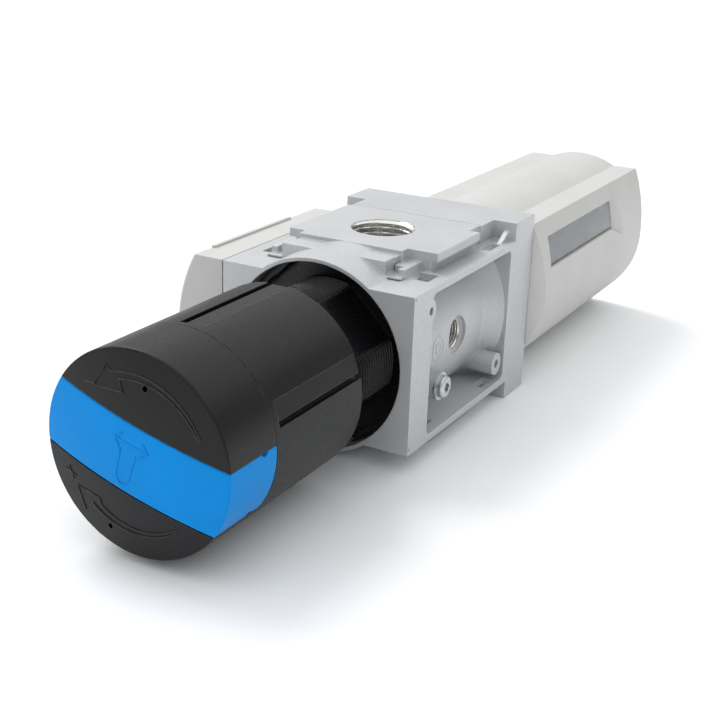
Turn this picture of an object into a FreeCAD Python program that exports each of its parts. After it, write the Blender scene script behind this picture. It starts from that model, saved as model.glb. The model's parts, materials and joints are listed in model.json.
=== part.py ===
"""Filter regulator for compressed air, lying on one of its two port faces.

Millimetres. +X runs along the knob axis from the knob to the bowl, +Y points to the closed cover,
+Z is the port axis. The origin is the centre of the lower port's mouth, in the plane the part lies on.
"""
import FreeCAD, Part
import math
import os

import Sketcher

Vector = FreeCAD.Vector
Rotation = FreeCAD.Rotation
Placement = FreeCAD.Placement

# ---------------------------------------------------------------- driving dimensions

CELLS = {
    # the module
    "axis_height": 31.0,          # knob axis above the lower port face
    "body_front": -42.7,
    "body_back": 31.0,
    "body_right": -33.4,          # side with the open pocket
    "body_left": 32.7,            # joint plane of the closed cover
    "body_half_height": 24.8,
    "flange_back": 46.3,
    "flange_left": 31.0,
    "waist_front": 20.0,          # where the flange's thick middle meets the port plate
    "waist_right": -25.1,
    "waist_left": 23.3,
    "collar_radius": 30.8,
    "collar_back": -19.0,
    "plate_front": -20.9,
    "plate_corner_front": -17.2,
    "plate_right": -28.0,
    "plate_left": 24.6,
    "port_radius": 10.48,         # G 1/2
    "port_depth": 15.5,
    # bores along the knob axis
    "opening_radius": 29.6,
    "opening_back": -30.0,
    "clamp_radius": 25.6,
    "clamp_back": -20.0,
    "sense_radius": 23.0,
    "sense_back": -14.0,
    "outlet_radius": 14.0,
    "outlet_back": 4.0,
    "seat_radius": 9.5,
    "seat_back": 9.0,
    "inlet_radius": 14.0,
    "socket_front": 30.0,
    "socket_radius": 25.0,
    "lock_front": 39.0,
    "lock_radius": 28.0,
    "lug_groove_front": 41.0,
    "lug_groove_back": 44.2,
    "lug_groove_radius": 29.8,
    # side pocket
    "pocket_front": -30.5,
    "pocket_back": 28.0,
    "pocket_half_height": 22.6,
    "pocket_floor": -16.5,
    "chamber_radius": 28.2,
    "gauge_radius": 4.86,         # G 1/8
    "gauge_counterbore": 6.4,
    # cover
    "cover_radius": 50.6,
    "cover_wall": 2.4,
    "cover_back": 30.6,
    # bonnet and its threaded collar
    "rim_front": -37.6,
    "valley_floor": -33.2,
    "thread_radius": 23.0,        # M46 x 1.5 for a panel nut
    "thread_root": 22.2,
    "thread_front": -61.0,
    "thread_flat": 19.6,
    "dome_radius": 20.0,
    "dome_front": -92.0,
    "dome_bore": 17.5,
    "dome_wall": 3.0,
    # knob
    "knob_radius": 28.4,
    "knob_rim": -127.8,
    "knob_skirt": -63.3,
    "knob_crown": 3.0,
    "knob_bore": 25.4,
    "knob_web": -102.5,
    "hub_radius": 9.5,
    "crown_radius": 135.93,       # ball that crowns the knob's end
    "slide_half_width": 9.5,
    "slide_play": 0.2,
    "slide_floor": -107.0,
    "slide_end": -107.3,
    "slide_wall": 2.9,
    "slide_roll": 15.5,
    "grip_back": -105.0,
    # spindle, nut and springs
    "spindle_radius": 6.0,
    "spindle_thread": 5.0,
    "spindle_front": -105.3,
    "spindle_tip": -50.0,
    "nut_front": -84.0,
    "nut_back": -74.0,
    "nut_radius": 15.5,
    "spring_radius": 12.6,
    "spring_wire": 3.2,
    "plate_stack": -23.7,         # spring side of the diaphragm's pressure plate
    "diaphragm_front": -21.2,
    "return_radius": 6.6,
    "return_wire": 1.0,
    # valve
    "poppet_face": 9.25,
    "poppet_back": 15.6,
    "poppet_radius": 9.2,
    "tail_radius": 4.0,
    "guide_front": 23.6,
    "guide_back": 29.0,
    # filter and bowl
    "bowl_rim": 32.0,
    "bowl_radius": 24.6,
    "bowl_wall": 2.4,
    "bowl_straight": 128.0,
    "bowl_end": 141.0,
    "element_front": 36.0,
    "element_back": 86.0,
    "element_radius": 15.0,
    # guard; its section is drawn from four arcs
    "guard_front": 46.6,
    "guard_back": 158.5,
    "guard_bore": 26.4,
    "guard_wall": 2.6,
    "guard_round": 30.8,          # about the knob axis
    "guard_shelf": 28.3,
    "shelf_right": 2.7,
    "hump_middle": -9.0,
    "hump_right": -24.4,
    "guard_top": 27.2,
    "face_radius": 69.9,          # bowed face with the window
    "face_middle": 32.0,
    "face_height": 1.6,
    "belly_radius": 31.08,        # below the face
    "belly_middle": -6.8,
    "guard_low": 30.6,
    "window_front": 56.0,
    "window_back": 123.5,
    "window_low": 10.3,
    "window_high": 21.3,
    # drain
    "drain_radius": 5.0,
    "drain_knob_radius": 8.0,
    "drain_knob_front": 146.0,
    "drain_knob_back": 158.0,
    # small hardware
    "screw_along": -16.9,
    "screw_drop": 11.2,
    "boss_along": 23.6,
    "boss_drop": 16.3,
}

doc = FreeCAD.newDocument("air_pressure_regulator")
dims = doc.addObject("Spreadsheet::Sheet", "dims")
for row, (alias, number) in enumerate(CELLS.items(), start=1):
    dims.set(f"A{row}", alias)
    dims.set(f"B{row}", str(number))
    dims.setAlias(f"B{row}", alias)
doc.recompute()


def value(text):
    """The number that a sum of cells and plain numbers stands for."""
    total, sign = 0.0, 1.0
    for word in str(text).split():
        if word in ("+", "-"):
            sign = 1.0 if word == "+" else -1.0
        else:
            total += sign * (CELLS[word] if word in CELLS else float(word))
            sign = 1.0
    return total


def formula(text):
    """The same sum as an expression on the sheet."""
    return " ".join("dims." + word if word in CELLS else word for word in str(text).split())


def minus(text):
    """The same sum with every sign turned over."""
    words = str(text).split()
    if words[0] not in ("+", "-"):
        words.insert(0, "+")
    return " ".join({"+": "-", "-": "+"}.get(word, word) for word in words)


def moved(text, amount):
    """The sum moved on by a number."""
    return f"{text} {'-' if amount < 0 else '+'} {abs(amount):.4f}"


def bind(item, **sums):
    """Ties each property of item to a sum of cells."""
    for name, text in sums.items():
        item.setExpression(name.replace("_of_", "."), formula(text))


def place(item, spot, turn=None):
    """Stands item at a spot given as three sums; z counts from the knob axis."""
    x, y, z = spot
    corner = Vector(value(x), value(y), value(z) + value("axis_height"))
    item.Placement = Placement(corner, turn or Rotation())
    for name, text in (("x", x), ("y", y), ("z", f"{z} + axis_height")):
        item.setExpression(f"Placement.Base.{name}", formula(text))
    return item


# ---------------------------------------------------------------- building blocks

def block(name, x, y, z):
    """A box from pairs of sums; z counts from the knob axis."""
    item = doc.addObject("Part::Box", name)
    sides = (("Length", x), ("Width", y), ("Height", z))
    for side, (low, high) in sides:
        item.setExpression(side, formula(high) + " - (" + formula(low) + ")")
    return place(item, (x[0], y[0], z[0]))


AXIS_TURNS = {
    "x": Rotation(Vector(0, 1, 0), 90),
    "y": Rotation(Vector(1, 0, 0), -90),
    "z": Rotation(),
}


def rod(name, axis, radius, ends, x="0", y="0", z="0"):
    """A cylinder along one axis, between two sums, through the point given by the other two."""
    item = doc.addObject("Part::Cylinder", name)
    bind(item, Radius=radius)
    item.setExpression("Height", formula(ends[1]) + " - (" + formula(ends[0]) + ")")
    spot = {"x": x, "y": y, "z": z}
    spot[axis] = ends[0]
    return place(item, (spot["x"], spot["y"], spot["z"]), AXIS_TURNS[axis])


def join(name, *items):
    item = doc.addObject("Part::MultiFuse", name)
    item.Shapes = list(items)
    return item


def cut(name, base, *tools):
    item = doc.addObject("Part::Cut", name)
    item.Base = base
    item.Tool = tools[0] if len(tools) == 1 else join(name + "_tools", *tools)
    return item


def overlap(name, *items):
    item = doc.addObject("Part::MultiCommon", name)
    item.Shapes = list(items)
    return item


def outline(body, name, plane, corners):
    """A closed sketch whose corners are pairs of sums, each tied to the sheet."""
    sketch = body.newObject("Sketcher::SketchObject", name)
    origin = next(f for f in body.Origin.OriginFeatures if f.Role == plane)
    sketch.AttachmentSupport = [(origin, "")]
    sketch.MapMode = "FlatFace"
    points = [Vector(value(a), value(b), 0) for a, b in corners]
    count = len(points)
    for i in range(count):
        sketch.addGeometry(Part.LineSegment(points[i], points[(i + 1) % count]), False)
    for i in range(count):
        sketch.addConstraint(Sketcher.Constraint("Coincident", i, 2, (i + 1) % count, 1))
    for i, (a, b) in enumerate(corners):
        for kind, text, axis in (("DistanceX", a, -2), ("DistanceY", b, -1)):
            if value(text) == 0.0:
                sketch.addConstraint(Sketcher.Constraint("PointOnObject", i, 1, axis))
                continue
            index = sketch.addConstraint(Sketcher.Constraint(kind, -1, 1, i, 1, value(text)))
            label = f"corner_{i}_{kind[-1].lower()}"
            sketch.renameConstraint(index, label)
            sketch.setExpression(f"Constraints.{label}", formula(text))
    return sketch


def turned(name, corners):
    """A piece turned about the knob axis from (along, radius) corners."""
    body = doc.addObject("PartDesign::Body", name)
    place(body, ("0", "0", "0"))
    sketch = outline(body, name + "_profile", "XY_Plane", corners)
    turning = body.newObject("PartDesign::Revolution", name + "_turning")
    turning.Profile = sketch
    turning.ReferenceAxis = (sketch, ["H_Axis"])
    turning.Angle = 360
    return body


def prism(name, corners, low, high):
    """An upright prism on (x, y) corners between two heights counted from the knob axis."""
    body = doc.addObject("PartDesign::Body", name)
    place(body, ("0", "0", low))
    sketch = outline(body, name + "_profile", "XY_Plane", corners)
    pad = body.newObject("PartDesign::Pad", name + "_pad")
    pad.Profile = sketch
    pad.setExpression("Length", formula(high) + " - (" + formula(low) + ")")
    return body


def ring(name, inner, outer, ends):
    """A plain ring about the knob axis."""
    low, high = ends
    return turned(name, [(low, inner), (high, inner), (high, outer), (low, outer)])


def polar(angle, radius):
    """(y, z) of a point about the knob axis, z counted from the axis, angle from +Y towards +Z."""
    a = math.radians(angle)
    return radius * math.cos(a), radius * math.sin(a)


def rolled(item, angle):
    """Rolls a finished item about the knob axis."""
    pivot = Vector(0, 0, CELLS["axis_height"])
    turn = Placement(Vector(), Rotation(Vector(1, 0, 0), angle), pivot)
    for name in ("x", "y", "z"):
        item.setExpression(f"Placement.Base.{name}", None)
    item.Placement = turn.multiply(item.Placement)
    return item


def coil(name, radius, wire, ends, turns):
    """A helical spring about the knob axis."""
    low, high = value(ends[0]) + value(wire) / 2, value(ends[1]) - value(wire) / 2
    helix = Part.makeHelix((high - low) / turns, high - low, value(radius))
    start = Part.Circle(Vector(value(radius), 0, 0), Vector(0, 1, 0), value(wire) / 2 - 0.02)
    section = Part.Wire([start.toShape()])
    item = doc.addObject("Part::Feature", name)
    item.Shape = Part.Wire(helix).makePipeShell([section], True, True)
    item.Placement = Placement(Vector(low, 0, CELLS["axis_height"]), AXIS_TURNS["x"])
    return item


def seal(name, radius, thickness, along):
    """An O-ring about the knob axis."""
    item = doc.addObject("Part::Torus", name)
    bind(item, Radius1=radius, Radius2=thickness)
    return place(item, (along, "0", "0"), AXIS_TURNS["x"])


def softened(name, base, radius, wanted):
    """base with the edges that wanted() picks rounded to radius."""
    doc.recompute()
    picked = [(i, radius, radius) for i, edge in enumerate(base.Shape.Edges, start=1) if wanted(edge)]
    item = doc.addObject("Part::Fillet", name)
    item.Base = base
    item.Edges = picked
    return item


# ---------------------------------------------------------------- housing

# bayonet lugs, in degrees from +Y towards +Z
LUG_SPAN = 34.0
LUG_ENTRY = 84.0
LUG_REST = 44.0


def port_side(sign, word):
    """Everything that stands on one port face; sign is +1 for the upper face, -1 for the lower."""
    def heights(low, high):
        return (low, high) if sign > 0 else (minus(high), minus(low))

    face = heights("body_half_height", "axis_height")
    hook = heights("20.6", "27.6")
    tab = heights("body_half_height", "25.6")
    added = [
        block(f"plate_{word}", ("plate_front", "body_back"), ("- 17.7", "18.6"), face),
        block(f"plate_wide_{word}", ("plate_corner_front", "waist_front"), ("plate_right", "plate_left"),
              face),
        block(f"waist_{word}", ("waist_front", "body_back"), ("waist_right", "waist_left"), face),
        block(f"ledge_{word}", ("- 30.6", "- 24.6"), ("- 17", "19"), heights("20", "29.9")),
        block(f"ledge_link_{word}", ("- 25", "plate_front"), ("- 17", "17.9"), heights("20", "29.6")),
        gusset(f"gusset_{word}", sign),
    ]
    for hand, inner, outer in (("right", "- 17.4", "- 22.4"), ("left", "19.2", "24.2")):
        near, far = (outer, inner) if hand == "right" else (inner, outer)
        arm = ("- 22.4", "- 20.4") if hand == "right" else ("22.2", "24.2")
        added += [
            block(f"hook_{hand}_{word}", ("- 24.8", "plate_corner_front"), (near, far), hook),
            block(f"hook_arm_{hand}_{word}", ("- 28.4", "- 24.8"), arm, hook),
            block(f"hook_tab_{hand}_{word}", ("- 30.8", "- 26"), (near, far), tab),
        ]
    lip = heights("body_half_height", "28.2")
    shallow = heights("20.6", "25")
    under = heights("24", "24.9")
    tall = heights("body_half_height", "31.2")
    removed = [
        block(f"lip_right_{word}", ("- 17.4", "13"), ("plate_right - 0.5", "- 25.6"), lip),
        block(f"lip_left_{word}", ("- 17.4", "19"), ("22.2", "plate_left + 0.5"), lip),
        block(f"plate_notch_{word}", ("13", "20.6"), ("plate_right - 0.5", "- 24.4"), tall),
        block(f"slot_right_{word}", ("- 26.8", "- 18.7"), ("- 29.6", "- 22.4"), shallow),
        block(f"slot_left_{word}", ("- 27.2", "- 18.2"), ("24.2", "28.6"), shallow),
        block(f"slot_back_{word}", ("15.6", "24.2"), ("- 30.8", "- 27.4"), shallow),
        block(f"under_tab_right_{word}", ("- 31.2", "- 28.4"), ("- 22.4", "- 17.4"), under),
        block(f"under_tab_left_{word}", ("- 31.2", "- 28.4"), ("19.2", "24.2"), under),
        block(f"seam_{word}", ("21.6", "22.2"), ("- 26", "24"), heights("30.5", "31.2")),
    ]
    port = heights("port_depth", "axis_height + 1")
    removed.append(rod(f"port_{word}", "z", "port_radius", port))
    return added, removed


def gusset(name, sign):
    """A small slanted rib that stands on the shelf and leans against the flange."""
    item = doc.addObject("Part::Wedge", name)
    item.Xmin, item.Xmax, item.X2min, item.X2max = 0, 6.5, 5.9, 6.5
    item.Ymin, item.Ymax = 0, 3.2
    item.Zmin, item.Zmax, item.Z2min, item.Z2max = 0, 1.6, 0, 1.6
    side = "- 29.2" if sign > 0 else "- 30.8"
    shelf = "body_half_height" if sign > 0 else "- body_half_height"
    return place(item, ("body_back - 6.4", side, shelf), Rotation(Vector(1, 0, 0), 90 * sign))


def main_body():
    """Die-cast housing: collar, port plates, flange, side pocket and every bore."""
    added = [
        block("body_block", ("body_front", "body_back"), ("body_right", "body_left"),
              ("- body_half_height", "body_half_height")),
        rod("collar", "x", "collar_radius", ("body_front", "collar_back")),
        block("flange", ("body_back", "flange_back"), ("body_right", "flange_left"),
              ("- axis_height", "axis_height")),
    ]
    pocket = block("pocket_space", ("pocket_front", "pocket_back"), ("body_right - 0.5", "pocket_floor"),
                   ("- pocket_half_height", "pocket_half_height"))
    pocket = softened("pocket_round", pocket, 2.0, lambda e: e.BoundBox.YLength > 5)
    chamber = turned("chamber_wall", [
        ("body_front", "0"), ("body_front", "chamber_radius"), ("pocket_back - 9", "chamber_radius"),
        ("pocket_back - 5", "chamber_radius + 0.9"), ("pocket_back - 2", "chamber_radius + 2.4"),
        ("pocket_back + 1", "chamber_radius + 5"), ("pocket_back + 1", "0"),
    ])
    snap_boss = rod("snap_boss", "y", "4", ("body_right", "pocket_floor"), x="- 32.4", z="17.6")
    screw_boss = rod("screw_boss", "y", "4.3", ("- 30.4", "pocket_floor"), x="screw_along", z="- screw_drop")
    plain_boss = rod("plain_boss", "y", "3.8", ("- 32.6", "pocket_floor"), x="boss_along", z="- boss_drop")
    removed = [cut("pocket", pocket, chamber, snap_boss, screw_boss, plain_boss)]
    for sign, word in ((1, "top"), (-1, "bottom")):
        more, less = port_side(sign, word)
        added += more
        removed += less
    removed += [
        rod("opening_bore", "x", "opening_radius", ("body_front - 0.5", "opening_back")),
        rod("clamp_bore", "x", "clamp_radius", ("opening_back", "clamp_back")),
        rod("sense_bore", "x", "sense_radius", ("clamp_back", "sense_back")),
        rod("outlet_bore", "x", "outlet_radius", ("sense_back", "outlet_back")),
        rod("seat_bore", "x", "seat_radius", ("outlet_back", "seat_back")),
        rod("inlet_bore", "x", "inlet_radius", ("seat_back", "socket_front")),
        rod("socket_bore", "x", "socket_radius", ("socket_front", "lock_front")),
        rod("lock_bore", "x", "lock_radius", ("lock_front", "flange_back + 0.5")),
        rod("lug_groove", "x", "lug_groove_radius", ("lug_groove_front", "lug_groove_back")),
        rod("outlet_passage", "z", "6", ("9", "port_depth + 0.5"), x="- 4"),
        block("inlet_passage", ("5.2", "12"), ("- 5", "5"), ("- port_depth - 0.5", "- 9")),
        rod("gauge_bore", "y", "gauge_radius", ("- 31", "- 12")),
        rod("gauge_seat", "y", "gauge_counterbore", ("- 31", "- 26.6")),
        rod("snap_hole", "y", "1.3", ("body_right - 0.5", "- 24"), x="- 31.4", z="17.6"),
        rod("screw_hole", "y", "1.95", ("- 31", "- 20"), x="screw_along", z="- screw_drop"),
        rod("plain_hole", "y", "1.6", ("- 33", "- 20"), x="boss_along", z="- boss_drop"),
    ]
    for k in range(3):
        removed.append(lug_sector(f"lug_entry_{k}", "lug_groove_radius", 120 * k + LUG_ENTRY, LUG_SPAN + 6,
                                  ("lug_groove_back - 0.5", "flange_back + 0.5")))
    return cut("main_body", join("main_body_mass", *added), *removed)


def lug_sector(name, radius, middle, span, ends):
    """A sector of a disc about the knob axis, span degrees wide around the middle angle."""
    item = doc.addObject("Part::Cylinder", name)
    bind(item, Radius=radius)
    item.setExpression("Height", formula(ends[1]) + " - (" + formula(ends[0]) + ")")
    item.Angle = span
    place(item, (ends[0], "0", "0"), AXIS_TURNS["x"])
    # the sector's own start lies at -Z after it is stood along X, and it opens towards +Y
    return rolled(item, middle - span / 2 + 90)


def front_cover():
    """Closed cover on the +Y side: a shell whose outer face is an arc about the knob axis."""
    long = ("body_front", "cover_back")
    tall = ("- body_half_height", "body_half_height")
    shell = overlap(
        "cover_outer",
        rod("cover_arc", "x", "cover_radius", long),
        block("cover_box", long, ("body_left", "60"), tall),
    )
    shell = softened("cover_soft", shell, 1.2,
                     lambda e: e.BoundBox.YMin > CELLS["body_left"] + 0.5)
    hollow_long = ("body_front + cover_wall", "cover_back - cover_wall")
    hollow_tall = ("- body_half_height + cover_wall", "body_half_height - cover_wall")
    hollow = overlap(
        "cover_inner",
        rod("cover_inner_arc", "x", "cover_radius - cover_wall", hollow_long),
        block("cover_inner_box", hollow_long, ("body_left - 1", "60"), hollow_tall),
    )
    seam = cut(
        "cover_seam",
        block("seam_outside", ("body_front - 1", "cover_back + 1"), ("body_left", "body_left + 0.4"),
              ("- body_half_height - 1", "body_half_height + 1")),
        block("seam_inside", ("body_front + 0.7", "cover_back - 0.7"), ("body_left", "body_left + 0.4"),
              ("- body_half_height + 0.7", "body_half_height - 0.7")),
    )
    rims = [
        block("cover_rim_top", ("- 33", "12"), ("42.4", "43.8"), ("body_half_height - 0.4", "25.5")),
        block("cover_rim_bottom", ("- 33", "12"), ("42.4", "43.8"), ("- 25.5", "- body_half_height + 0.4")),
    ]
    return cut("front_cover", join("cover_shell", shell, *rims), hollow, seam)


# ---------------------------------------------------------------- bonnet and spring side

def thread_ridges(start, pitch, count):
    """(along, radius) corners of the panel thread, one ridge per turn, from start."""
    corners = []
    for k in range(count):
        for share, radius in ((0.25, "thread_root"), (0.5, "thread_radius"), (0.65, "thread_radius"),
                              (0.9, "thread_root")):
            corners.append((moved(start, pitch * (k + share)), radius))
    return corners


def bonnet():
    """Black spring bonnet: clamp flange, rim in the collar, panel thread with four flats, closed dome."""
    shell = turned("bonnet_shell", [
        ("diaphragm_front", "21.4"), ("diaphragm_front", "clamp_radius - 0.2"),
        ("opening_back - 0.3", "clamp_radius - 0.2"), ("opening_back - 0.3", "opening_radius - 0.2"),
        ("rim_front", "opening_radius - 0.2"), ("rim_front", "27.4"),
        ("valley_floor", "26.2"), ("valley_floor", "thread_root"),
        *thread_ridges("valley_floor", -1.5, 17),
        ("thread_front", "thread_root"), ("thread_front", "dome_radius"),
        ("dome_front", "dome_radius"), ("dome_front", "spindle_radius + 0.05"),
        ("dome_front + dome_wall", "spindle_radius + 0.05"), ("dome_front + dome_wall", "dome_bore"),
        ("- 26", "dome_bore"), ("- 26", "21.4"),
    ])
    tools = []
    for k in range(4):
        flat = block(f"collar_flat_{k}", ("thread_front - 1", "valley_floor"), ("- 20", "20"),
                     ("thread_flat + 0.6", "27"))
        tools.append(rolled(flat, 45 + 90 * k))
    for k in range(2):
        groove = block(f"nut_groove_{k}", ("dome_front + dome_wall", "- 52"), ("- 2.2", "2.2"),
                       ("10", "18.6"))
        tools.append(rolled(groove, 180 * k))
    return cut("bonnet", shell, *tools)


def detent_ring():
    """Toothed ring on the bonnet's dome that the knob locks on."""
    band = ring("detent_band", "dome_radius", "22", ("- 73", "- 66.5"))
    teeth = []
    for k in range(24):
        tooth = block(f"detent_tooth_{k}", ("- 73", "- 68"), ("- 0.8", "0.8"), ("21.5", "23.2"))
        teeth.append(rolled(tooth, 15 * k))
    return join("detent_ring", band, *teeth)


def crown(name):
    """The large ball whose near side is the crowned end shared by knob and slide."""
    ball = doc.addObject("Part::Sphere", name)
    bind(ball, Radius="crown_radius")
    return place(ball, ("knob_rim - knob_crown + crown_radius", "0", "0"))


def rotary_knob():
    """Knob shell with crowned end, slide channel, hub and two grip panels bounded by slots."""
    outer = rod("knob_outer", "x", "knob_radius", ("knob_rim - knob_crown - 1", "knob_skirt"))
    ball = crown("knob_crown_ball")
    solid = softened("knob_solid", overlap("knob_crowned", outer, ball), 0.6,
                     lambda e: e.CenterOfMass.x < CELLS["knob_rim"] + 1 and e.Length > 100)
    cavity = cut("knob_cavity",
                 rod("knob_bore_space", "x", "knob_bore", ("knob_web", "knob_skirt + 1")),
                 rod("knob_hub", "x", "hub_radius", ("knob_web", "dome_front - 0.4")))
    channel = block("slide_channel", ("knob_rim - 4", "slide_floor"), ("- 30", "30"),
                    ("- slide_half_width - slide_play", "slide_half_width + slide_play"))
    seam = ring("knob_seam", "knob_radius - 0.3", "knob_radius + 1", ("slide_end", "slide_floor"))
    tools = [cavity, rolled(channel, CELLS["slide_roll"]), seam,
             rod("hub_bore", "x", "spindle_radius + 0.05", ("spindle_front - 0.4", "dome_front + 1"))]
    for start in (126, 306):
        for side in (-1, 1):
            slot = block(f"grip_slot_{start}_{side + 1}", ("grip_back", "knob_skirt + 1"), ("- 0.8", "0.8"),
                         ("26.4", "30"))
            tools.append(rolled(slot, start + side * 40.5 - 90))
            flat = block(f"grip_flat_{start}_{side + 1}", ("grip_back", "knob_skirt + 1"), ("- 3.4", "3.4"),
                         ("27.9", "30"))
            tools.append(rolled(flat, start + side * 34.6 - 90))
    for k, (y, z) in enumerate(((-4.5, 19.4), (8.1, -21.3))):
        tools.append(rod(f"pin_mark_{k}", "x", "0.8", ("knob_rim - 4", "knob_rim + 2"), y=f"{y}", z=f"{z}"))
    return cut("rotary_knob", solid, *tools)


def lock_slide():
    """Blue slide: a bridge across the knob's end with a tab down each side."""
    outer = rod("slide_outer", "x", "knob_radius - 0.05", ("knob_rim - knob_crown - 1", "slide_end"))
    bar = block("slide_bar", ("knob_rim - knob_crown - 1", "slide_end"), ("- 30", "30"),
                ("- slide_half_width", "slide_half_width"))
    solid = overlap("slide_solid", outer, rolled(bar, CELLS["slide_roll"]), crown("slide_crown_ball"))
    solid = softened("slide_soft", solid, 0.5, lambda e: e.BoundBox.XMax < CELLS["knob_rim"] + 4)
    hollow = block("slide_hollow", ("knob_rim + slide_wall", "slide_end + 1"), ("- 25.4", "25.4"),
                   ("- 10", "10"))
    tools = [rolled(hollow, CELLS["slide_roll"])]
    for side, ends in (("right", ("- 31", "- 23")), ("left", ("23", "31"))):
        for edge, height in (("low", "- 9.9"), ("high", "9.9")):
            nick = rod(f"slide_nick_{side}_{edge}", "y", "1.4", ends, x="- 112.6", z=height)
            tools.append(rolled(nick, CELLS["slide_roll"]))
    return cut("lock_slide", solid, *tools)


def spring_side():
    """Spindle, thrust washer, travelling nut, range spring and the diaphragm with its plates."""
    turned("adjusting_spindle", [
        ("spindle_front", "0"), ("spindle_front", "spindle_radius"),
        ("dome_front + dome_wall + 1.1", "spindle_radius"), ("dome_front + dome_wall + 1.1", "10"),
        ("dome_front + dome_wall + 3.6", "10"), ("dome_front + dome_wall + 3.6", "spindle_thread"),
        ("spindle_tip", "spindle_thread"), ("spindle_tip", "0"),
    ])
    ring("thrust_washer", "spindle_radius + 0.3", "11",
         ("dome_front + dome_wall + 0.02", "dome_front + dome_wall + 1.02"))
    nut = turned("nut_core", [
        ("nut_front", "spindle_thread + 0.06"), ("nut_back", "spindle_thread + 0.06"), ("nut_back", "10.4"),
        ("nut_back - 4", "10.4"), ("nut_back - 4", "nut_radius"), ("nut_front", "nut_radius"),
    ])
    lug = (("nut_front", "nut_back - 4"), ("- 2", "2"), ("12", "18.3"))
    lugs = [rolled(block(f"nut_lug_{k}", *lug), 180 * k)
            for k in range(2)]
    join("spindle_nut", nut, *lugs)
    coil("range_spring", "spring_radius", "spring_wire", ("nut_back - 4", "plate_stack"), 6.5)
    turned("spring_plate", [
        ("plate_stack", "3.1"), ("diaphragm_front", "3.1"), ("diaphragm_front", "16.6"),
        ("plate_stack", "16.6"), ("plate_stack", "10.4"), ("plate_stack - 3", "10.4"),
        ("plate_stack - 3", "3.1"),
    ])
    turned("diaphragm", [
        ("diaphragm_front", "3.1"), ("clamp_back", "3.1"), ("clamp_back", "17"), ("clamp_back + 1.4", "18.4"),
        ("clamp_back + 1.4", "20.2"), ("clamp_back", "21.6"), ("clamp_back", "clamp_radius - 0.2"),
        ("diaphragm_front", "clamp_radius - 0.2"), ("diaphragm_front", "21.2"),
        ("diaphragm_front + 1.4", "19.8"), ("diaphragm_front + 1.4", "18.8"), ("diaphragm_front", "17.4"),
    ])


# ---------------------------------------------------------------- valve

def valve():
    """Stem, poppet, seat, guide and return spring of the main valve."""
    turned("diaphragm_disc", [
        ("clamp_back", "3.1"), ("clamp_back", "16"), ("clamp_back + 1.8", "16"), ("clamp_back + 3", "6"),
        ("clamp_back + 7", "6"), ("clamp_back + 7", "3.1"),
    ])
    turned("valve_stem", [
        ("plate_stack - 4.4", "0"), ("plate_stack - 4.4", "4.6"), ("plate_stack - 3", "4.6"),
        ("plate_stack - 3", "3.1"), ("clamp_back + 7", "3.1"), ("clamp_back + 7", "2.6"),
        ("poppet_face + 2", "2.6"), ("poppet_face + 2", "0"),
    ])
    ring("poppet_seal", "5.4", "poppet_radius - 0.2", ("poppet_face", "poppet_face + 2"))
    turned("valve_poppet", [
        ("poppet_face + 0.4", "2.6"), ("poppet_face + 0.4", "5.4"), ("poppet_face + 2", "5.4"),
        ("poppet_face + 2", "poppet_radius"), ("poppet_back", "poppet_radius"),
        ("poppet_back", "tail_radius"),
        ("guide_back - 3.2", "tail_radius"), ("guide_back - 3.2", "0"), ("poppet_face + 2", "0"),
        ("poppet_face + 2", "2.6"),
    ])
    turned("valve_seat", [
        ("outlet_back + 0.5", "6.6"), ("seat_back + 0.2", "6.6"), ("seat_back + 0.2", "7.6"),
        ("seat_back - 0.6", "8.2"), ("seat_back - 0.6", "seat_radius"), ("outlet_back + 0.5", "seat_radius"),
    ])
    base = turned("guide_core", [
        ("guide_front", "tail_radius + 0.06"), ("guide_back", "tail_radius + 0.06"),
        ("guide_back", "inlet_radius"), ("guide_front + 2", "inlet_radius"), ("guide_front + 2", "8.6"),
        ("guide_front", "8.6"),
    ])
    holes = []
    for k in range(6):
        y, z = polar(60 * k, 10.9)
        holes.append(rod(f"guide_hole_{k}", "x", "2", ("guide_front", "guide_back + 1"),
                         y=f"{y:.4f}", z=f"{z:.4f}"))
    cut("valve_guide", base, *holes)
    coil("return_spring", "return_radius", "return_wire", ("poppet_back", "guide_front"), 4)


# ---------------------------------------------------------------- filter and bowl

def filter_pack():
    """Stud, swirl disc, element, baffle and nut that hang from the valve guide."""
    turned("filter_stud", [
        ("guide_back", "0"), ("guide_back", "7.4"), ("guide_back + 2.4", "7.4"), ("guide_back + 2.4", "3.5"),
        ("element_back + 8", "3.5"), ("element_back + 8", "0"),
    ])
    disc = turned("swirl_core", [
        ("guide_back + 2.4", "3.5"), ("element_front", "3.5"), ("element_front", "19"),
        ("guide_back + 4.4", "21.4"), ("guide_back + 2.4", "21.4"),
    ])
    slots = []
    for k in range(14):
        slot = block(f"swirl_slot_{k}", ("guide_back + 2", "element_front + 1"), ("- 1.1", "1.1"),
                     ("16.6", "22"))
        slots.append(rolled(slot, 360 / 14 * k))
    for k in range(6):
        y, z = polar(60 * k, 8.4)
        slots.append(rod(f"swirl_hole_{k}", "x", "2", ("guide_back", "element_front + 1"),
                         y=f"{y:.4f}", z=f"{z:.4f}"))
    cut("swirl_disc", disc, *slots)
    ring("filter_element", "11", "element_radius", ("element_front", "element_back"))
    turned("baffle_plate", [
        ("element_back", "3.5"), ("element_back", "16.5"), ("element_back + 4", "20"),
        ("element_back + 5.4", "20"), ("element_back + 1.6", "16"), ("element_back + 2.2", "3.5"),
    ])
    nut = doc.addObject("Part::Prism", "nut_hexagon")
    nut.Polygon = 6
    nut.Circumradius = 7.5
    nut.Height = 4.8
    place(nut, ("element_back + 2.2", "0", "0"), AXIS_TURNS["x"])
    cut("filter_nut", nut, rod("nut_thread", "x", "3.5", ("element_back", "element_back + 9")))


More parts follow.
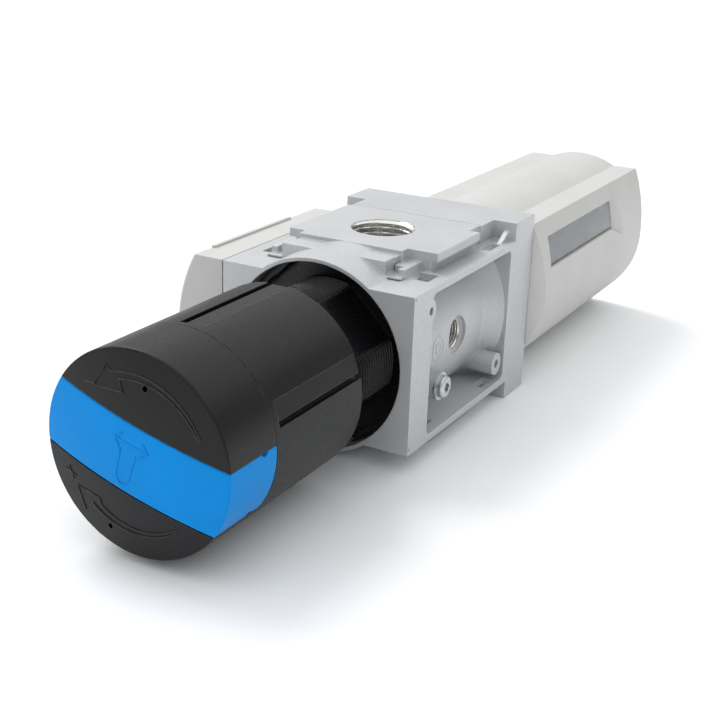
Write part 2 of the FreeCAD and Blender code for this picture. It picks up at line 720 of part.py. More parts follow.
def bowl():
    """Clear bowl with a clamping collar, a seal groove and a conical end."""
    inner = "bowl_radius - bowl_wall"
    turned("bowl", [
        ("bowl_rim", inner), ("bowl_rim", "bowl_radius"), ("bowl_rim + 2.6", "bowl_radius"),
        ("bowl_rim + 2.6", "23.3"), ("bowl_rim + 5", "23.3"), ("bowl_rim + 5", "bowl_radius"),
        ("lock_front + 0.2", "bowl_radius"), ("lock_front + 0.2", "27.4"), ("lock_front + 1.8", "27.4"),
        ("lock_front + 1.8", "bowl_radius"), ("bowl_straight", "bowl_radius"), ("bowl_end", "11"),
        ("bowl_end", "drain_radius"), ("bowl_end - bowl_wall", "drain_radius"),
        ("bowl_end - bowl_wall", "10"), ("bowl_straight - 1", inner),
    ])
    seal("bowl_seal", "24.15", "0.82", "bowl_rim + 3.8")


def guard_lobe(name, inset, ends):
    """The part of the guard's section that is not round about the knob axis, inset from the outer skin."""
    face = overlap(
        name + "_face",
        rod(name + "_face_arc", "x", f"face_radius - {inset}", ends, y="face_middle", z="face_height"),
        block(name + "_face_box", ends, ("- 45", "- 9"), ("- 1", f"guard_top - {inset}")),
    )
    hump = overlap(
        name + "_hump",
        rod(name + "_hump_arc", "x", f"guard_round - {inset}", ends, y="hump_middle"),
        block(name + "_hump_box", ends, (f"hump_right + {inset}", f"shelf_right - {inset}"), ("- 1", "31")),
    )
    belly = overlap(
        name + "_belly",
        rod(name + "_belly_arc", "x", f"belly_radius - {inset}", ends, y="belly_middle"),
        block(name + "_belly_box", ends, ("- 45", "belly_middle"), (f"- guard_low + {inset}", "0")),
    )
    return join(name, face, hump, belly)


def window_outline(name, along, corners):
    """A flat four-cornered wire at one depth y; corners are (x, z') numbers."""
    points = [Vector(x, along, CELLS["axis_height"] + z) for x, z in corners]
    return Part.makePolygon(points + points[:1])


def bowl_guard():
    """Guard with a round back, a stepped top, a bowed face with a sight window and a bayonet collar."""
    ends = ("guard_front", "guard_back")
    rounded = overlap(
        "guard_back_round",
        rod("guard_back_arc", "x", "guard_round", ends),
        block("guard_back_box", ends, ("- 32", "32"), ("- guard_low", "guard_shelf")),
    )
    outer = join("guard_outer", rounded, guard_lobe("guard_skin", "0", ends))
    # the bowed face starts level with the flange and swells out within a few millimetres
    shoulder = cut(
        "guard_shoulder",
        block("shoulder_box", ("guard_front - 1", "guard_front + 7.3"), ("- 45", "- 30.2"), ("- 32", "32")),
        rod("shoulder_arc", "z", "8", ("- 33", "33"), x="guard_front + 7.3", y="- 30.2"),
    )
    inside = ("guard_front + 3", "guard_back - 7")
    cavity = join(
        "guard_cavity",
        rod("guard_bore_space", "x", "guard_bore", ("guard_front - 1", "guard_back - 7")),
        guard_lobe("guard_hollow", "guard_wall", ("guard_front + 10", "guard_back - 7")),
    )
    collar = rod("guard_spigot", "x", "lock_radius - 0.1", ("lock_front + 2.1", "guard_front + 3"))
    shell = join("guard_shell", cut("guard_open", outer, shoulder, cavity), collar,
                 *[lug_sector(f"guard_lug_{k}", "lug_groove_radius - 0.15", 120 * k + LUG_REST, LUG_SPAN,
                              ("lug_groove_front + 0.3", "lug_groove_back - 0.4")) for k in range(3)])
    window = block("window_slot", ("window_front", "window_back"), ("- 45", "- 31"),
                   ("window_low", "window_high"))
    low, high = CELLS["window_low"], CELLS["window_high"]
    end = CELLS["window_back"]
    flare = doc.addObject("Part::Feature", "window_flare")
    flare.Shape = Part.makeLoft([
        window_outline("flare_inner", -34.2, [(end - 1, low), (end, low), (end, high), (end - 1, high)]),
        window_outline("flare_outer", -39.5, [(end - 1, low - 1), (end + 15, low - 7), (end + 15, high + 0.3),
                                              (end - 1, high)]),
    ], True, True)
    return cut("bowl_guard", shell,
               rod("guard_spigot_bore", "x", "bowl_radius + 0.3", ("lock_front", "guard_front + 4")),
               window, flare,
               rod("drain_opening", "x", "9.4", ("guard_back - 8", "guard_back + 1")))


def sight_glass():
    """Clear pane in the guard's window, a little below the bowed face."""
    ends = ("window_front", "window_back")
    pane = cut(
        "pane",
        rod("pane_outer", "x", "face_radius - 1", ends, y="face_middle", z="face_height"),
        rod("pane_inner", "x", "face_radius - guard_wall", ("window_front - 1", "window_back + 1"),
            y="face_middle", z="face_height"),
    )
    return overlap("sight_glass", pane,
                   block("pane_box", ends, ("- 45", "- 20"), ("window_low", "window_high")))


def drain():
    """Manual drain: body in the bowl's end, clamp nut, turning knob and the stem it lifts."""
    turned("drain_body", [
        ("bowl_end - bowl_wall - 2.6", "2.1"), ("bowl_end - bowl_wall - 2.6", "8.6"),
        ("bowl_end - bowl_wall - 1.4", "8.6"), ("bowl_end - bowl_wall - 1.4", "drain_radius - 0.05"),
        ("drain_knob_back - 5", "drain_radius - 0.05"), ("drain_knob_back - 5", "2.1"),
    ])
    seal("drain_seal", "6.4", "0.68", "bowl_end - bowl_wall - 0.7")
    nut = doc.addObject("Part::Prism", "drain_hexagon")
    nut.Polygon = 6
    nut.Circumradius = 8.6
    nut.Height = 3.6
    place(nut, ("bowl_end", "0", "0"), AXIS_TURNS["x"])
    cut("drain_nut", nut, rod("drain_nut_bore", "x", "drain_radius - 0.05", ("bowl_end - 1", "bowl_end + 5")))
    body = turned("drain_knob_core", [
        ("drain_knob_front", "drain_radius"), ("drain_knob_front", "drain_knob_radius"),
        ("drain_knob_back", "drain_knob_radius"), ("drain_knob_back", "3"),
        ("drain_knob_back - 4.6", "3"), ("drain_knob_back - 4.6", "drain_radius"),
    ])
    knurls = []
    for k in range(12):
        y, z = polar(30 * k, 8.4)
        knurls.append(rod(f"drain_flute_{k}", "x", "0.9", ("drain_knob_front - 1", "drain_knob_back + 1"),
                          y=f"{y:.4f}", z=f"{z:.4f}"))
    cut("drain_knob", body, *knurls)
    turned("drain_stem", [
        ("bowl_end - bowl_wall - 5", "0"), ("bowl_end - bowl_wall - 5", "3.6"),
        ("bowl_end - bowl_wall - 2.8", "3.6"), ("bowl_end - bowl_wall - 2.8", "2"),
        ("drain_knob_back - 5.4", "2"), ("drain_knob_back - 5.4", "0"),
    ])


def hardware():
    """Pan-head screw with a six-lobe recess and its washer, on the boss in the side pocket."""
    spot = {"x": "screw_along", "z": "- screw_drop"}
    head = rod("screw_head", "y", "3.6", ("- 33.2", "- 31.2"), **spot)
    head = softened("screw_head_soft", head, 0.9, lambda e: e.CenterOfMass.y < -33)
    shank = rod("screw_shank", "y", "1.9", ("- 31.3", "- 21"), **spot)
    lobes = [rod("lobe_core", "y", "1.35", ("- 34", "- 32"), **spot)]
    for k in range(6):
        a = math.radians(60 * k)
        lobes.append(rod(f"lobe_{k}", "y", "0.42", ("- 34", "- 32"),
                         x=moved("screw_along", 1.35 * math.cos(a)),
                         z=moved("- screw_drop", 1.35 * math.sin(a))))
    cut("cover_screw", join("screw_blank", head, shank), *lobes)
    cut("screw_washer", rod("washer_disc", "y", "4.5", ("- 31.2", "- 30.4"), **spot),
        rod("washer_hole", "y", "1.95", ("- 32", "- 30"), **spot))


# ---------------------------------------------------------------- build, check and write

main_body()
front_cover()
bonnet()
detent_ring()
rotary_knob()
lock_slide()
spring_side()
valve()
filter_pack()
bowl()
bowl_guard()
sight_glass()
drain()
hardware()

NODES = [
    "main_body", "front_cover", "bonnet", "detent_ring", "rotary_knob", "lock_slide",
    "adjusting_spindle", "thrust_washer", "spindle_nut", "range_spring", "spring_plate",
    "diaphragm", "diaphragm_disc", "valve_stem", "poppet_seal", "valve_poppet", "valve_seat",
    "valve_guide", "return_spring", "filter_stud", "swirl_disc", "filter_element", "baffle_plate",
    "filter_nut", "bowl", "bowl_seal", "bowl_guard", "sight_glass", "drain_body", "drain_seal",
    "drain_nut", "drain_knob", "drain_stem", "cover_screw", "screw_washer",
]

doc.recompute()
for item in doc.Objects:
    if "Invalid" in item.State or "Error" in item.State:
        raise SystemExit(f"{item.Name} is {item.State}")
os.makedirs("parts", exist_ok=True)
for label in NODES:
    item = doc.getObject(label)
    shape = item.Shape
    if shape.isNull() or not shape.isValid() or not shape.Solids:
        raise SystemExit(f"{label} has no valid solid")
    item.Label = label
    print(f"{label:18s} solids {len(shape.Solids)}  volume {shape.Volume:9.1f} mm3")
    shape.exportStep(f"parts/{label}.step")
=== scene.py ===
import json
import math

import bmesh
import bpy
from mathutils import Matrix, Vector


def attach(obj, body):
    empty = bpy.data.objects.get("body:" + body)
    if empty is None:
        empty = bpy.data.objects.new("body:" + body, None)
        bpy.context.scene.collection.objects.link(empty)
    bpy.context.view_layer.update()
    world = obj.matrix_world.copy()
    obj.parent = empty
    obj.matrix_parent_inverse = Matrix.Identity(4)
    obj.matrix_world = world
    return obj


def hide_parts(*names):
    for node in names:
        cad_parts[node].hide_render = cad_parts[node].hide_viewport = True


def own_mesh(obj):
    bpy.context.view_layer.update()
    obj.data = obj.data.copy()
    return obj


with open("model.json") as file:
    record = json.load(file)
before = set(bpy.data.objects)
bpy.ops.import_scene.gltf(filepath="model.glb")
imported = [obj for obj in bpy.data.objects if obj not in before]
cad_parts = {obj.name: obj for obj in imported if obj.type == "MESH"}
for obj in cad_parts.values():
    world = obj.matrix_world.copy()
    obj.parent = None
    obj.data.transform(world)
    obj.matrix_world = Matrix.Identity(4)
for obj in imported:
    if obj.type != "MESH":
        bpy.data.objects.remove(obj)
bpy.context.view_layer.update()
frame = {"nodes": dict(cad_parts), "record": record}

MM = 0.001
AXIS_HEIGHT = 31 * MM        # knob axis above the lower port face


# ---------------------------------------------------------------- camera, floor and light

EYE = Vector((-0.359617, -0.187806, 0.168492))
HEADING = math.radians(28.435)      # from +X towards +Y
LOOK_DOWN = math.radians(20.557)
ROLL = math.radians(1.985)
LENS = 65.0
SENSOR = 36.0
FLOOR_REACH = 12.0           # metres from the middle to the floor's edges
THREAD_GAP = 0.02 * MM       # between a thread sleeve's widest part and its bore
THREAD_LAND = 0.3 * MM       # plain part at a thread's mouth, before the turns rise
FLANK_SLOPE, FLANK_CUT = 2.6, 0.8
DISC_SUNK = 0.3 * MM         # how far a disc's foot lies inside the solid under it
STROKE_SUNK, STROKE_TOP = 0.15, 0.7   # millimetres inside the crown; top's share of the width
RING_SUNK = 0.2              # millimetres that a ring's foot lies inside the wall
# Each thread's major radius, depth, pitch and length.
PORT_THREAD = (10.47 * MM, 1.1 * MM, 1.814 * MM, 15.2 * MM)
GAUGE_THREAD = (4.85 * MM, 0.55 * MM, 0.907 * MM, 12.0 * MM)


def add_camera():
    forward = Vector((math.cos(HEADING) * math.cos(LOOK_DOWN), math.sin(HEADING) * math.cos(LOOK_DOWN),
                      -math.sin(LOOK_DOWN)))
    level = Vector((math.sin(HEADING), -math.cos(HEADING), 0))
    upright = level.cross(forward)
    right = math.cos(ROLL) * level + math.sin(ROLL) * upright
    up = math.cos(ROLL) * upright - math.sin(ROLL) * level
    data = bpy.data.cameras.new("camera")
    data.lens = LENS
    data.sensor_width = SENSOR
    data.clip_start = 0.01
    camera = bpy.data.objects.new("camera", data)
    bpy.context.scene.collection.objects.link(camera)
    turn = Matrix((right, up, -forward)).transposed().to_4x4()
    camera.matrix_world = Matrix.Translation(EYE) @ turn
    bpy.context.scene.camera = camera


def add_sun(name, towards, spread, strength):
    """A distant light; towards is the way from the object to it, spread its width in degrees."""
    data = bpy.data.lights.new(name, "SUN")
    data.angle = math.radians(spread)
    data.energy = strength
    lamp = bpy.data.objects.new(name, data)
    bpy.context.scene.collection.objects.link(lamp)
    lamp.rotation_euler = (-Vector(towards)).to_track_quat("-Z", "Y").to_euler()


def add_studio():
    world = bpy.data.worlds.new("studio")
    bpy.context.scene.world = world
    world.use_nodes = True
    background = world.node_tree.nodes["Background"]
    background.inputs["Color"].default_value = (0.97, 0.985, 1.0, 1)
    background.inputs["Strength"].default_value = 0.31
    add_sun("sky", (0.0, 0.15, 1.0), 140, 2.3)
    add_sun("key", (0.25, 0.75, 1.0), 26, 1.3)
    bpy.context.scene.view_settings.view_transform = "Standard"
    bpy.context.scene.view_settings.look = "None"
    mesh = bpy.data.meshes.new("floor")
    corners = ((-1, -1), (1, -1), (1, 1), (-1, 1))
    mesh.from_pydata([(x * FLOOR_REACH, y * FLOOR_REACH, 0) for x, y in corners], [], [(0, 1, 2, 3)])
    floor = bpy.data.objects.new("floor", mesh)
    floor.location.z = -0.2 * MM
    bpy.context.scene.collection.objects.link(floor)
    paint = Paint("floor_white")
    paint.set(Base_Color=(0.92, 0.93, 0.94, 1), Roughness=0.85, Specular_IOR_Level=0.2)
    floor.data.materials.append(paint.material)
    add_backdrop()


def add_backdrop(sides=48):
    """A white wall all round, seen by the camera alone, so it gives no light and no shadow."""
    radius = 0.98 * FLOOR_REACH
    verts = []
    for height in (-1.0, 2 * FLOOR_REACH):
        for k in range(sides):
            turn = 2 * math.pi * k / sides
            verts.append((radius * math.cos(turn), radius * math.sin(turn), height))
    faces = [(k, (k + 1) % sides, (k + 1) % sides + sides, k + sides) for k in range(sides)]
    mesh = bpy.data.meshes.new("backdrop")
    mesh.from_pydata(verts, [], faces)
    wall = bpy.data.objects.new("backdrop", mesh)
    bpy.context.scene.collection.objects.link(wall)
    for kind in ("shadow", "diffuse", "glossy", "transmission"):
        setattr(wall, "visible_" + kind, False)
    paint = Paint("backdrop_white")
    paint.set(Base_Color=(0, 0, 0, 1), Specular_IOR_Level=0.0, Emission_Color=(1, 1, 1, 1),
              Emission_Strength=1.0)
    mesh.materials.append(paint.material)


# ---------------------------------------------------------------- materials

class Paint:
    """A material with one principled shader, and short calls for the nodes around it."""

    def __init__(self, name):
        self.material = bpy.data.materials.new(name)
        self.material.use_nodes = True
        self.nodes = self.material.node_tree.nodes
        self.links = self.material.node_tree.links
        self.shader = self.nodes["Principled BSDF"]
        self.place = self.nodes.new("ShaderNodeTexCoord").outputs["Object"]

    def set(self, **sockets):
        """Values set directly on the shader; an underscore stands for a space."""
        for name, value in sockets.items():
            self.shader.inputs[name.replace("_", " ")].default_value = value

    def link(self, output, socket):
        self.links.new(output, self.shader.inputs[socket])

    def node(self, kind, settings=None, **sockets):
        """A node; a socket's value is a number, a colour or another node's output."""
        made = self.nodes.new("ShaderNode" + kind)
        for name, value in (settings or {}).items():
            setattr(made, name, value)
        for name, value in sockets.items():
            key = int(name[1:]) if name[0] == "_" else name.replace("_", " ")
            if isinstance(value, bpy.types.NodeSocket):
                self.links.new(value, made.inputs[key])
            else:
                made.inputs[key].default_value = value
        return made

    def grain(self, size, detail=2.0, rough=0.5):
        """Noise whose grains are about size metres across."""
        noise = self.node("TexNoise", Vector=self.place, Scale=1 / size, Detail=detail, Roughness=rough)
        return noise.outputs["Fac"]

    def math(self, operation, a, b=0.0, clamp=False):
        return self.node("Math", {"operation": operation, "use_clamp": clamp}, _0=a, _1=b).outputs[0]

    def span(self, value, low, high, out_low=0.0, out_high=1.0):
        """value stretched from low..high to out_low..out_high, and held there."""
        return self.node("MapRange", Value=value, From_Min=low, From_Max=high, To_Min=out_low,
                         To_Max=out_high).outputs["Result"]

    def mix(self, share, first, second):
        """Colour from first to second."""
        made = self.node("Mix", {"data_type": "RGBA"}, _0=share)
        for key, colour in ((6, first), (7, second)):
            if isinstance(colour, bpy.types.NodeSocket):
                self.links.new(colour, made.inputs[key])
            else:
                made.inputs[key].default_value = (*colour[:3], 1)
        return made.outputs[2]

    def edges(self, radius, low=0.985, high=0.80):
        """(mask, normal): how near a sharp edge the surface is, and its normal with that edge rounded."""
        rounded = self.node("Bevel", {"samples": 6}, Radius=radius).outputs["Normal"]
        straight = self.node("NewGeometry").outputs["Normal"]
        alike = self.node("VectorMath", {"operation": "DOT_PRODUCT"}, _0=rounded, _1=straight)
        return self.span(alike.outputs["Value"], low, high), rounded

    def bump(self, height, strength, distance, normal=None):
        sockets = {"Height": height, "Strength": strength, "Distance": distance}
        if normal is not None:
            sockets["Normal"] = normal
        return self.node("Bump", **sockets).outputs["Normal"]


def cast_metal(name="cast_body", tone=(0.525, 0.537, 0.55), rough=0.42):
    """Silver-grey coating on die-cast aluminium: fine flake, soft clouds, and every sharp edge lighter,
    partly rubbed wear and partly painted edge highlight.
    """
    paint = Paint(name)
    mask, rounded = paint.edges(0.5 * MM)
    flake = paint.span(paint.grain(0.35 * MM, 1.0), 0.35, 0.7)
    cloud = paint.span(paint.grain(14 * MM, 3.0), 0.3, 0.7)
    dark = tuple(c * 0.90 for c in tone)
    light = tuple(min(1.0, c * 1.08) for c in tone)
    colour = paint.mix(flake, dark, light)
    colour = paint.mix(paint.math("MULTIPLY", cloud, 0.10), colour, (0.70, 0.70, 0.69))
    # every sharp edge lighter: painted edge highlight for rounded edges catching light, partly rubbed wear
    colour = paint.mix(paint.math("MULTIPLY", mask, 0.75), colour, (0.88, 0.89, 0.90))
    paint.link(colour, "Base Color")
    paint.link(paint.span(cloud, 0, 1, rough - 0.05, rough + 0.08), "Roughness")
    paint.set(Metallic=0.35)
    paint.link(paint.bump(paint.grain(0.55 * MM, 3.0), 0.18, 0.05 * MM, rounded), "Normal")
    return paint.material


def moulded(name, tone, rough, grain=0.5 * MM, depth=0.25, rub_and_painted_highlight=(1, 1, 1), rub_and_painted_highlight_share=0.2, edge=0.4 * MM,
            gloss=0.5):
    """Moulded plastic: spark-eroded grain, faint flow clouds, and edges lighter in patches, partly rubbed
    wear and partly painted edge highlight.
    """
    paint = Paint(name)
    mask, rounded = paint.edges(edge)
    cloud = paint.span(paint.grain(22 * MM, 3.0), 0.3, 0.7)
    speck = paint.span(paint.grain(0.8 * MM, 2.0), 0.3, 0.75)
    colour = paint.mix(cloud, tuple(c * 0.96 for c in tone), tuple(min(1.0, c * 1.03) for c in tone))
    colour = paint.mix(paint.math("MULTIPLY", speck, 0.08), colour, tuple(c * 0.7 for c in tone))
    # edges lighter in noisy patches: partly rubbed wear, partly painted edge highlight
    scuff_and_painted_highlight = paint.math("MULTIPLY", mask, paint.span(paint.grain(2.5 * MM, 4.0), 0.35, 0.75, 0.25, 1.0))
    colour = paint.mix(paint.math("MULTIPLY", scuff_and_painted_highlight, rub_and_painted_highlight_share), colour, rub_and_painted_highlight)
    paint.link(colour, "Base Color")
    paint.link(paint.span(speck, 0, 1, rough - 0.05, rough + 0.07), "Roughness")
    paint.link(paint.bump(paint.grain(grain, 3.0), depth, 0.05 * MM, rounded), "Normal")
    paint.set(Specular_IOR_Level=gloss)
    return paint.material


def metal(name, tone, rough, lines=None, edge=0.2 * MM):
    """Bare metal with tool marks; lines is the marks' spacing along the knob axis."""
    paint = Paint(name)
    mask, rounded = paint.edges(edge)
    cloud = paint.span(paint.grain(4 * MM, 4.0), 0.3, 0.7)
    colour = paint.mix(cloud, tuple(c * 0.86 for c in tone), tone)
    # every sharp edge lighter: painted edge highlight
    colour = paint.mix(paint.math("MULTIPLY", mask, 0.4), colour, tuple(min(1.0, c * 1.25) for c in tone))
    paint.link(colour, "Base Color")
    paint.link(paint.span(cloud, 0, 1, rough, rough + 0.15), "Roughness")
    height = paint.grain(0.3 * MM, 2.0)
    if lines:
        wave = paint.node("TexWave", {"wave_type": "BANDS", "bands_direction": "X"}, Vector=paint.place,
                          Scale=1 / lines, Distortion=0.6, Detail=2.0)
        height = wave.outputs["Fac"]
    paint.link(paint.bump(height, 0.25, 0.03 * MM, rounded), "Normal")
    paint.set(Metallic=1.0)
    return paint.material


def clear_plastic(name="clear_bowl"):
    """Clear polycarbonate with a slightly hazed surface."""
    paint = Paint(name)
    haze = paint.span(paint.grain(6 * MM, 4.0), 0.35, 0.75)
    paint.link(paint.mix(haze, (0.66, 0.70, 0.72), (0.54, 0.59, 0.62)), "Base Color")
    paint.link(paint.span(haze, 0, 1, 0.03, 0.10), "Roughness")
    paint.set(Transmission_Weight=0.92, IOR=1.45)
    paint.link(paint.bump(paint.grain(1.5 * MM, 2.0), 0.08, 0.05 * MM), "Normal")
    return paint.material


def rubber(name, tone=(0.02, 0.02, 0.021)):
    paint = Paint(name)
    speck = paint.span(paint.grain(0.6 * MM, 3.0), 0.3, 0.75)
    paint.link(paint.mix(speck, tone, tuple(c * 1.8 for c in tone)), "Base Color")
    paint.link(paint.span(speck, 0, 1, 0.6, 0.75), "Roughness")
    paint.link(paint.bump(speck, 0.3, 0.05 * MM), "Normal")
    return paint.material


def porous(name="sintered_filter"):
    """White sintered filter element, all small pores."""
    paint = Paint(name)
    cells = paint.node("TexVoronoi", Vector=paint.place, Scale=1 / (0.6 * MM)).outputs["Distance"]
    pores = paint.span(cells, 0.1, 0.6)
    # darker in each pore: painted shade in the pores
    paint.link(paint.mix(pores, (0.45, 0.44, 0.42), (0.86, 0.85, 0.82)), "Base Color")
    paint.set(Roughness=0.85)
    paint.link(paint.bump(pores, 0.8, 0.2 * MM), "Normal")
    return paint.material


def make_materials():
    cream = (0.565, 0.562, 0.545)
    white = (0.72, 0.72, 0.70)
    made = {
        "cast_body": cast_metal(),
        "cover_plastic": moulded("cover_plastic", cream, 0.48),
        "guard_plastic": moulded("guard_plastic", cream, 0.50),
        "bonnet_plastic": moulded("bonnet_plastic", (0.005, 0.005, 0.006), 0.30, depth=0.15,
                                  rub_and_painted_highlight=(0.12, 0.12, 0.12), rub_and_painted_highlight_share=0.35, gloss=0.35),
        "knob_plastic": moulded("knob_plastic", (0.004, 0.004, 0.0045), 0.40, grain=0.45 * MM, depth=0.3,
                                rub_and_painted_highlight=(0.42, 0.42, 0.42), rub_and_painted_highlight_share=0.35, edge=0.3 * MM, gloss=0.30),
        "blue_plastic": moulded("blue_plastic", (0.0, 0.25, 0.70), 0.36, depth=0.15,
                                rub_and_painted_highlight=(0.03, 0.45, 0.92), rub_and_painted_highlight_share=0.4, gloss=0.10),
        "drain_plastic": moulded("drain_plastic", (0.015, 0.015, 0.016), 0.40),
        "white_plastic": moulded("white_plastic", white, 0.45),
        "turned_steel": metal("turned_steel", (0.56, 0.57, 0.58), 0.25, lines=0.5 * MM),
        "spring_steel": metal("spring_steel", (0.42, 0.42, 0.44), 0.30),
        "turned_brass": metal("turned_brass", (0.76, 0.58, 0.28), 0.25, lines=0.5 * MM),
        "pressed_aluminium": metal("pressed_aluminium", (0.80, 0.81, 0.82), 0.30),
        "zinc_screw": metal("zinc_screw", (0.62, 0.66, 0.66), 0.24),
        "diaphragm_rubber": rubber("diaphragm_rubber"),
        "seal_rubber": rubber("seal_rubber"),
        "sintered_filter": porous(),
        "clear_bowl": clear_plastic(),
    }
    for name, material in made.items():
        material["slot"] = name
    return made


def dress_nodes(materials):
    """Every CAD node takes the material that its slot names."""
    for part in frame["record"]["subparts"]:
        node = frame["nodes"][part["node"]]
        node.data.materials.clear()
        node.data.materials.append(materials[part["material_slot"]])


# ---------------------------------------------------------------- detail pieces

CROWN_RADIUS = 135.93 * MM
CROWN_MIDDLE = 5.13 * MM     # where the crown's centre is along the knob axis
SLIDE_ROLL = math.radians(15.5)
CHAMBER_RADIUS = 28.2        # millimetres, about the knob axis


def new_piece(name, verts, faces, material, body):
    """A closed mesh piece that rides on a body; verts are in metres in the row frame."""
    mesh = bpy.data.meshes.new(name)
    mesh.from_pydata(verts, [], faces)
    form = bmesh.new()
    form.from_mesh(mesh)
    bmesh.ops.recalc_face_normals(form, faces=form.faces)
    form.to_mesh(mesh)
    form.free()
    piece = bpy.data.objects.new(name, mesh)
    bpy.context.scene.collection.objects.link(piece)
    mesh.materials.append(material)
    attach(piece, body)
    return piece


def threaded_liner(name, mouth, outward, radius, depth, pitch, length, lead, material, around=96, per_turn=8):
    """Thin sleeve inside a bore with a helical thread on its inside; radius is the thread's major radius."""
    rows = int(length / pitch * per_turn)
    verts, faces = [], []
    for row in range(rows + 1):
        down = length * row / rows
        for k in range(around):
            turn = 2 * math.pi * k / around
            phase = (down / pitch + k / around) % 1.0
            ridge = min(1.0, max(0.0, FLANK_SLOPE * (1 - abs(2 * phase - 1)) - FLANK_CUT))
            inner = radius - THREAD_GAP - depth * ridge
            opened = radius - THREAD_GAP - max(0.0, down - THREAD_LAND) * lead
            wide = max(inner, opened)
            verts.append((wide * math.cos(turn), wide * math.sin(turn), -down))
    for down in (length, 0.0):
        for k in range(around):
            turn = 2 * math.pi * k / around
            verts.append((radius * math.cos(turn), radius * math.sin(turn), -down))
    for row in range(rows + 3):
        upper = row * around
        lower = (row + 1) % (rows + 3) * around
        for k in range(around):
            nxt = (k + 1) % around
            faces.append((upper + k, upper + nxt, lower + nxt, lower + k))
    turn = Vector((0, 0, 1)).rotation_difference(Vector(outward)).to_matrix()
    placed = [tuple(Vector(mouth) + turn @ Vector(v)) for v in verts]
    return new_piece(name, placed, faces, material, "housing")


def on_crown(y, z):
    """The point of the knob's crowned end at (y, z) millimetres off the knob axis."""
    side = (y * MM) ** 2 + (z * MM) ** 2
    return Vector((CROWN_MIDDLE - math.sqrt(CROWN_RADIUS ** 2 - side), y * MM, AXIS_HEIGHT + z * MM))


def strokes(name, lines, width, height, material, body):
    """Raised lines on the knob's end; each line is a list of (y, z) in millimetres."""
    verts, faces = [], []
    for line in lines:
        first = len(verts)
        for k, (y, z) in enumerate(line):
            back = line[max(0, k - 1)]
            ahead = line[min(len(line) - 1, k + 1)]
            along = Vector((ahead[0] - back[0], ahead[1] - back[1])).normalized()
            side = Vector((-along.y, along.x)) * width / 2
            for lift, share in ((STROKE_SUNK, 1.0), (-height, STROKE_TOP), (-height, -STROKE_TOP),
                                (STROKE_SUNK, -1.0)):
                spot = on_crown(y + side.x * share, z + side.y * share)
                verts.append((spot.x + lift * MM, spot.y, spot.z))
        for k in range(len(line) - 1):
            for edge in range(4):
                a, b = first + 4 * k + edge, first + 4 * k + (edge + 1) % 4
                faces.append((a, b, b + 4, a + 4))
        last = first + 4 * (len(line) - 1)
        faces.append((first, first + 1, first + 2, first + 3))
        faces.append((last, last + 3, last + 2, last + 1))
    return new_piece(name, verts, faces, material, body)


def arc(radius, start, stop, steps=24):
    """Points of an arc about the knob axis, degrees from +Y towards +Z; radius may change on the way."""
    begin, end = radius if isinstance(radius, tuple) else (radius, radius)
    points = []
    for k in range(steps + 1):
        share = k / steps
        turn = math.radians(start + (stop - start) * share)
        reach = begin + (end - begin) * share
        points.append((reach * math.cos(turn), reach * math.sin(turn)))
    return points


def tilted(points):
    """Points drawn along the slide, turned with it."""
    c, s = math.cos(SLIDE_ROLL), math.sin(SLIDE_ROLL)
    return [(c * u - s * v, s * u + c * v) for u, v in points]


def add_knob_marks(materials):
    black, blue = materials["knob_plastic"], materials["blue_plastic"]
    minus = [[(14.2, 17.5), (10.9, 17.7)]]
    upper = [arc((22.4, 22.6), 74, 156), arc((20.6, 22.0), 80, 156),
             [(5.9, 21.6), (7.9, 23.0), (11.4, 17.2), (1.8, 17.2), (3.5, 20.3)]]
    plus = [[(22.0, -8.4), (18.4, -9.7)], [(20.8, -7.2), (19.6, -10.9)]]
    lower = [arc((20.6, 21.6), -50, -128), arc((18.6, 20.9), -57, -128),
             [(13.2, -15.8), (16.2, -19.0), (18.2, -12.2), (10.6, -13.6), (10.1, -15.7)]]
    strokes("knob_marks", minus + upper + plus + lower, 0.42, 0.22, black, "knob")
    bar = [[(-4.8, 4.2), (5.4, 4.2)], [(-2.9, 6.3), (-5.0, 4.2), (-2.9, 2.1)],
           [(3.5, 6.3), (5.6, 4.2), (3.5, 2.1)]]
    cup = [[(-1.7, 1.9), (-1.2, -5.4), (-0.4, -7.2), (0.9, -7.7), (2.2, -7.0), (2.9, -5.2), (3.1, 1.9)]]
    strokes("slide_marks", [tilted(line) for line in bar + cup], 0.5, 0.22, blue, "lock")


def disc(name, spot, outward, radius, height, material, body, around=32):
    """A thin disc that stands height proud of spot."""
    verts = []
    for rise in (-DISC_SUNK, height):
        for k in range(around):
            turn = 2 * math.pi * k / around
            verts.append((radius * math.cos(turn), radius * math.sin(turn), rise))
    faces = [(k, (k + 1) % around, (k + 1) % around + around, k + around) for k in range(around)]
    faces += [tuple(range(around)), tuple(range(around, 2 * around))]
    turn = Vector((0, 0, 1)).rotation_difference(Vector(outward)).to_matrix()
    placed = [tuple(Vector(spot) + turn @ Vector(v)) for v in verts]
    return new_piece(name, placed, faces, material, body)


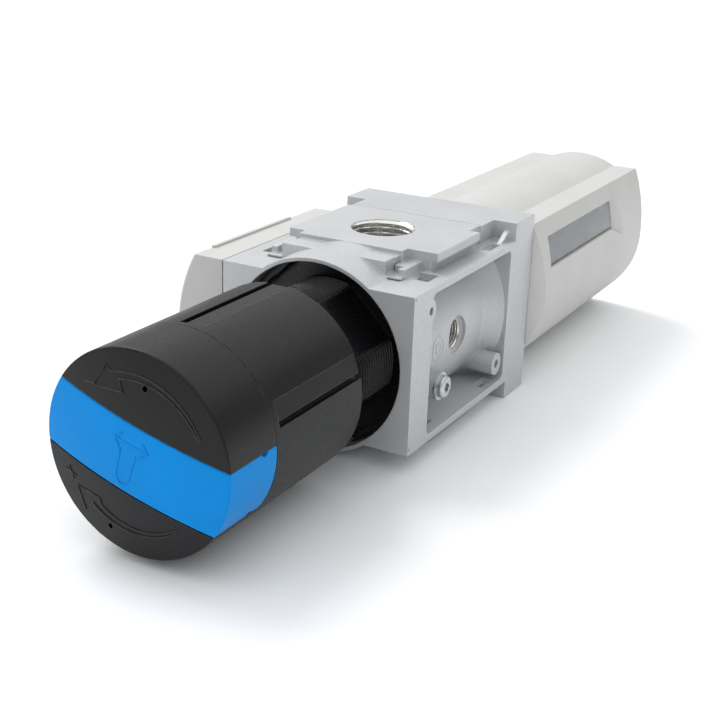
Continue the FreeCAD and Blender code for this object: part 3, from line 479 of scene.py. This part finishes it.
def drum_ring(name, x, z, inner, outer, rise, material, around=48):
    """A raised ring on the pressure chamber's round wall, centred at (x, z) millimetres."""
    verts = []
    for reach, lift in ((inner, -RING_SUNK), (inner, rise), (outer, rise), (outer, -RING_SUNK)):
        for k in range(around):
            turn = 2 * math.pi * k / around
            high = z + reach * math.sin(turn)
            wall = math.sqrt(CHAMBER_RADIUS ** 2 - high ** 2)
            verts.append(((x + reach * math.cos(turn)) * MM, -(wall + lift) * MM, AXIS_HEIGHT + high * MM))
    faces = []
    for row in range(4):
        for k in range(around):
            nxt = (k + 1) % around
            faces.append((row * around + k, row * around + nxt, (row + 1) % 4 * around + nxt,
                          (row + 1) % 4 * around + k))
    return new_piece(name, verts, faces, material, "housing")


def add_threads(materials):
    bright = metal("cut_thread", (0.80, 0.79, 0.76), 0.16)
    for name, height, way in (("upper_port_thread", 2 * AXIS_HEIGHT, 1), ("lower_port_thread", 0.0, -1)):
        threaded_liner(name, (0, 0, height), (0, 0, way), *PORT_THREAD, 1.0, bright)
    threaded_liner("gauge_port_thread", (0, -26.6 * MM, AXIS_HEIGHT), (0, -1, 0), *GAUGE_THREAD, 1.0, bright,
                   around=64)


def add_pocket_marks(materials):
    """Mould mark on the chamber, and beside the pocket's front corners two dark discs, painted shade of two
    small pits.
    """
    cast = materials["cast_body"]
    for k, (inner, outer) in enumerate(((3.5, 4.1), (1.3, 1.8))):
        drum_ring(f"mould_mark_{k}", -13.9, -0.3, inner, outer, 0.16, cast)
    # flat dark discs: painted shade standing for two small pits
    for k, height in enumerate((23.9, -22.9)):
        disc(f"painted_pit_shade_{k}", (-42.1 * MM, -33.4 * MM, AXIS_HEIGHT + height * MM), (0, -1, 0), 0.32 * MM,
             0.02 * MM, materials["drain_plastic"], "housing")


def add_live_copies():
    """Copies of the springs and diaphragm that ride on the housing in place of their CAD nodes; each row also
    lists the joint that loads it, its anchor (the end that stays put) and its travel, which are not used.
    """
    for name, joint, anchor, travel in (
            ("range_spring", "nut_travel", -23.7 * MM, 12.1 * MM),
            ("return_spring", "valve_lift", 23.6 * MM, 2.5 * MM),
            ("diaphragm", "valve_lift", -21.2 * MM, 2.5 * MM)):
        source = frame["nodes"][name]
        copy = bpy.data.objects.new(name + "_live", source.data.copy())
        bpy.context.scene.collection.objects.link(copy)
        copy.matrix_world = source.matrix_world
        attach(copy, "housing")
        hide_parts(name)
        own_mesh(copy)


# ---------------------------------------------------------------- build

add_camera()
add_studio()
materials = make_materials()
dress_nodes(materials)
add_threads(materials)
add_knob_marks(materials)
add_pocket_marks(materials)
add_live_copies()
